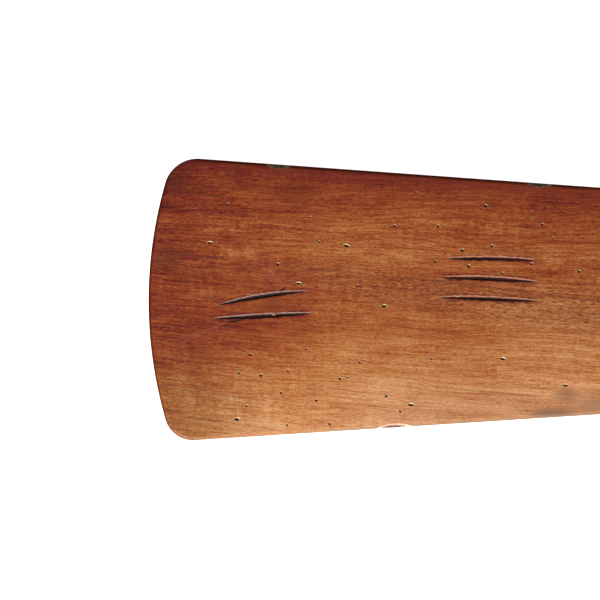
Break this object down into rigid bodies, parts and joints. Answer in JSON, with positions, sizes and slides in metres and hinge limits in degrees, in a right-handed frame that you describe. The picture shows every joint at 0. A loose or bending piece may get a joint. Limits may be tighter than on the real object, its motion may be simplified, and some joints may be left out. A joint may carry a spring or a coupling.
{
  "type": "ceiling fan blade",
  "caption": "Distressed walnut ceiling-fan blade, wide and rounded at the tip and tapering to the root, screwed to a cast blade iron whose pitched foot bolts to a fan motor.",
  "frame": {"origin": "centre of the face that bolts to the fan motor, on the outside of the foot's gasket", "axes": "+X outwards along the blade to its tip, +Y across the blade, +Z out of the blade's show face, which looks down into the room when the fan hangs; the motor foot is turned by the 12 degree pitch about X"},
  "size_m": [0.589, 0.1524, 0.0551],
  "materials": {
    "show_veneer": "distressed walnut stain under a satin lacquer",
    "ply_core": "stained through at the rounded edges",
    "back_veneer": "plain walnut stain, satin lacquer",
    "aged_bronze": "oil-rubbed bronze, worn at the ridges",
    "dark_steel": "dark plated",
    "zinc_steel": "zinc plated",
    "red_fibre": "pressed vulcanised fibre",
    "black_rubber": "matt sheet"
  },
  "bodies": {
    "root": {"blade_face_ply": "show_veneer", "blade_upper_crossband": "ply_core", "blade_core_ply": "ply_core", "blade_lower_crossband": "ply_core", "blade_back_ply": "back_veneer", "blade_iron": "aged_bronze", "blade_gasket": "black_rubber", "blade_screw_outer": "dark_steel", "blade_screw_inner_left": "dark_steel", "blade_screw_inner_right": "dark_steel", "fibre_washer_outer": "red_fibre", "fibre_washer_inner_left": "red_fibre", "fibre_washer_inner_right": "red_fibre", "motor_gasket": "black_rubber", "motor_screw_left": "zinc_steel", "motor_screw_right": "zinc_steel", "lock_washer_left": "zinc_steel", "lock_washer_right": "zinc_steel", "flat_washer_left": "zinc_steel", "flat_washer_right": "zinc_steel"}
  },
  "joints": []
}
